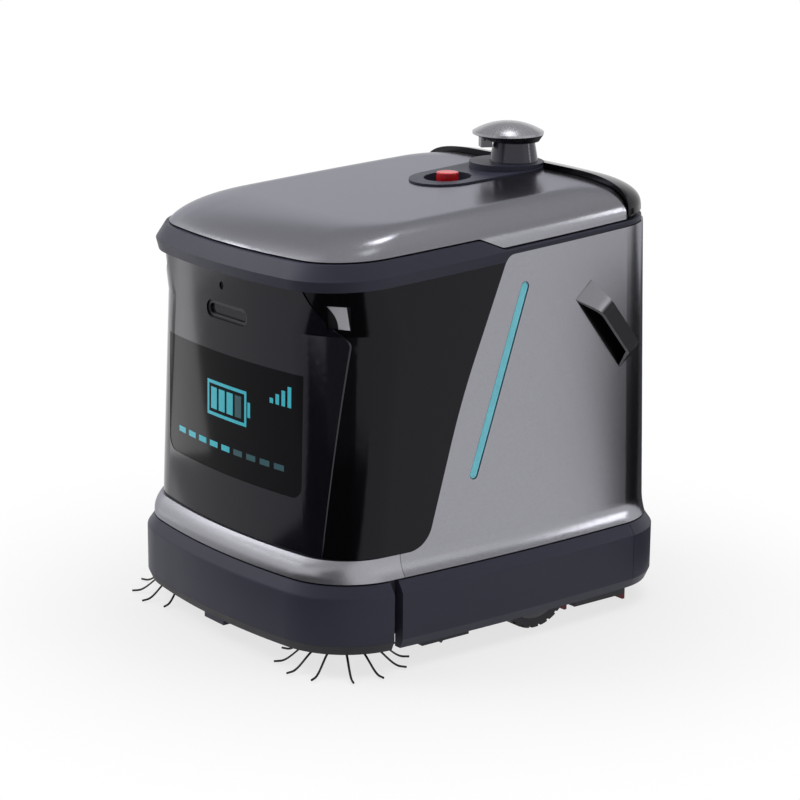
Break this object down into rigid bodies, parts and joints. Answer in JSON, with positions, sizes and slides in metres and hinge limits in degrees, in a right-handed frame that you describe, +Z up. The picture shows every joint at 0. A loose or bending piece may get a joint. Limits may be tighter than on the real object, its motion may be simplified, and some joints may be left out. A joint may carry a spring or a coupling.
{
  "type": "floor cleaning robot",
  "caption": "Self-driving floor scrubbing robot: rounded body with display front, sprung bumper, side brushes, roller deck, squeegee, hinged lid over tanks and spinning scanner.",
  "frame": {"origin": "on the floor under the middle of the plan", "axes": "+Z up, -Y the front with the display, +X the right side as seen from the front (the side seen in the picture)"},
  "size_m": [0.466, 0.56, 0.575],
  "materials": {
    "silver_paint": "satin metallic paint",
    "bright_silver": "bright metallic paint",
    "slate_plastic": "fine matt grain",
    "gloss_black": "polished",
    "front_gloss": "polished",
    "screen_black": "smooth",
    "camera_black": "matt",
    "camera_glass": "clear hard coat",
    "strip_cyan": "translucent",
    "handle_black": "fine grain",
    "base_black": "moulded grain",
    "bay_grey": "moulded grain",
    "lip_rubber": "matt",
    "tyre_rubber": "matt",
    "wheel_grey": "moulded",
    "steel": "turned and pressed",
    "blade_red": "smooth",
    "bristle_black": "nylon",
    "hub_black": "moulded",
    "bristle_grey": "nylon",
    "stop_red": "semi gloss",
    "cap_metal": "radially brushed",
    "stem_dark": "semi gloss",
    "rotor_dark": "matt",
    "sensor_grey": "satin",
    "clean_white": "blow moulded",
    "waste_grey": "blow moulded",
    "cap_blue": "moulded",
    "battery_dark": "moulded",
    "fan_dark": "moulded",
    "box_metal": "sand blasted",
    "motor_metal": "turned",
    "contact_brass": "polished",
    "button_grey": "satin"
  },
  "bodies": {
    "chassis": {"base_tray": "base_black", "battery_pack": "battery_dark", "camera_window": "camera_glass", "charge_contacts": "contact_brass", "clean_tank": "clean_white", "collar": "slate_plastic", "control_box": "box_metal", "corner_sensors": "camera_black", "deck_posts": "steel", "depth_camera": "camera_black", "display_screen": "screen_black", "front_band": "bright_silver", "front_camera": "camera_black", "front_panel": "front_gloss", "front_shell": "gloss_black", "gear_motors": "motor_metal", "grab_handle_left": "handle_black", "grab_handle_right": "handle_black", "hinge_brackets": "steel", "hinge_pins": "steel", "light_strips": "strip_cyan", "rear_panel": "silver_paint", "rear_skirt": "slate_plastic", "side_panel_left": "silver_paint", "side_panel_right": "silver_paint", "side_skirts": "slate_plastic", "suction_fan": "fan_dark", "tank_bay": "bay_grey", "tank_caps": "cap_blue", "waste_tank": "waste_grey"},
    "lid": {"lid_cover": "silver_paint", "rear_trim": "gloss_black", "sensor_bezel": "slate_plastic", "lidar_base": "slate_plastic", "lidar_window": "stem_dark", "lidar_cap": "cap_metal", "sensor_block": "sensor_grey", "hinge_arms": "steel"},
    "lidar_head": {"lidar_rotor": "rotor_dark"},
    "stop_button": {"estop_button": "stop_red"},
    "bumper": {"front_bumper": "slate_plastic", "bumper_lip": "lip_rubber", "bumper_guide_pins": "steel"},
    "side_brush_left": {"brush_hub_left": "hub_black", "brush_bristles_left": "bristle_black"},
    "side_brush_right": {"brush_hub_right": "hub_black", "brush_bristles_right": "bristle_black"},
    "scrub_deck": {"brush_deck": "base_black"},
    "scrub_roller": {"roller_core": "steel", "roller_bristles": "bristle_grey"},
    "squeegee": {"squeegee_body": "base_black", "squeegee_blades": "blade_red", "blade_strap": "base_black"},
    "drive_wheel_left": {"drive_tyre_left": "tyre_rubber", "drive_rim_left": "wheel_grey"},
    "drive_wheel_right": {"drive_tyre_right": "tyre_rubber", "drive_rim_right": "wheel_grey"},
    "caster": {"caster_fork": "steel"},
    "caster_roll": {"caster_wheel": "wheel_grey"},
    "power_switch": {"power_button": "button_grey"}
  },
  "joints": [
    {"name": "lid_hinge", "type": "hinge", "parent": "chassis", "child": "lid", "pos_m": [0, 0.272, 0.489], "axis": [-1, 0, 0], "range_deg": [0, 75]},
    {"name": "lidar_spin", "type": "hinge", "parent": "lid", "child": "lidar_head", "pos_m": [0, 0.176, 0.52], "axis": [0, 0, 1], "continuous": true},
    {"name": "stop_press", "type": "slide", "parent": "lid", "child": "stop_button", "axis": [0, 0, -1], "range_m": [0, 0.004], "stiffness_N_per_m": 1200, "springref_m": -0.004},
    {"name": "bumper_push", "type": "slide", "parent": "chassis", "child": "bumper", "axis": [0, 1, 0], "range_m": [0, 0.008], "stiffness_N_per_m": 1500, "springref_m": -0.004},
    {"name": "brush_spin_left", "type": "hinge", "parent": "chassis", "child": "side_brush_left", "pos_m": [-0.153, -0.2, 0.03], "axis": [0, 0, 1], "continuous": true},
    {"name": "brush_spin_right", "type": "hinge", "parent": "chassis", "child": "side_brush_right", "pos_m": [0.153, -0.2, 0.03], "axis": [0, 0, 1], "continuous": true},
    {"name": "deck_lift", "type": "slide", "parent": "chassis", "child": "scrub_deck", "axis": [0, 0, 1], "range_m": [0, 0.02]},
    {"name": "roller_spin", "type": "hinge", "parent": "scrub_deck", "child": "scrub_roller", "pos_m": [0, -0.075, 0.031], "axis": [1, 0, 0], "continuous": true},
    {"name": "squeegee_lift", "type": "slide", "parent": "chassis", "child": "squeegee", "axis": [0, 0, 1], "range_m": [0, 0.02]},
    {"name": "wheel_spin_left", "type": "hinge", "parent": "chassis", "child": "drive_wheel_left", "pos_m": [-0.187, 0.052, 0.055], "axis": [1, 0, 0], "continuous": true},
    {"name": "wheel_spin_right", "type": "hinge", "parent": "chassis", "child": "drive_wheel_right", "pos_m": [0.187, 0.052, 0.055], "axis": [1, 0, 0], "continuous": true},
    {"name": "caster_swivel", "type": "hinge", "parent": "chassis", "child": "caster", "pos_m": [0, -0.16, 0.097], "axis": [0, 0, 1], "continuous": true},
    {"name": "caster_spin", "type": "hinge", "parent": "caster", "child": "caster_roll", "pos_m": [0, -0.145, 0.025], "axis": [1, 0, 0], "continuous": true},
    {"name": "power_press", "type": "slide", "parent": "chassis", "child": "power_switch", "axis": [0, -1, 0], "range_m": [0, 0.0025], "stiffness_N_per_m": 800, "springref_m": -0.003}
  ]
}
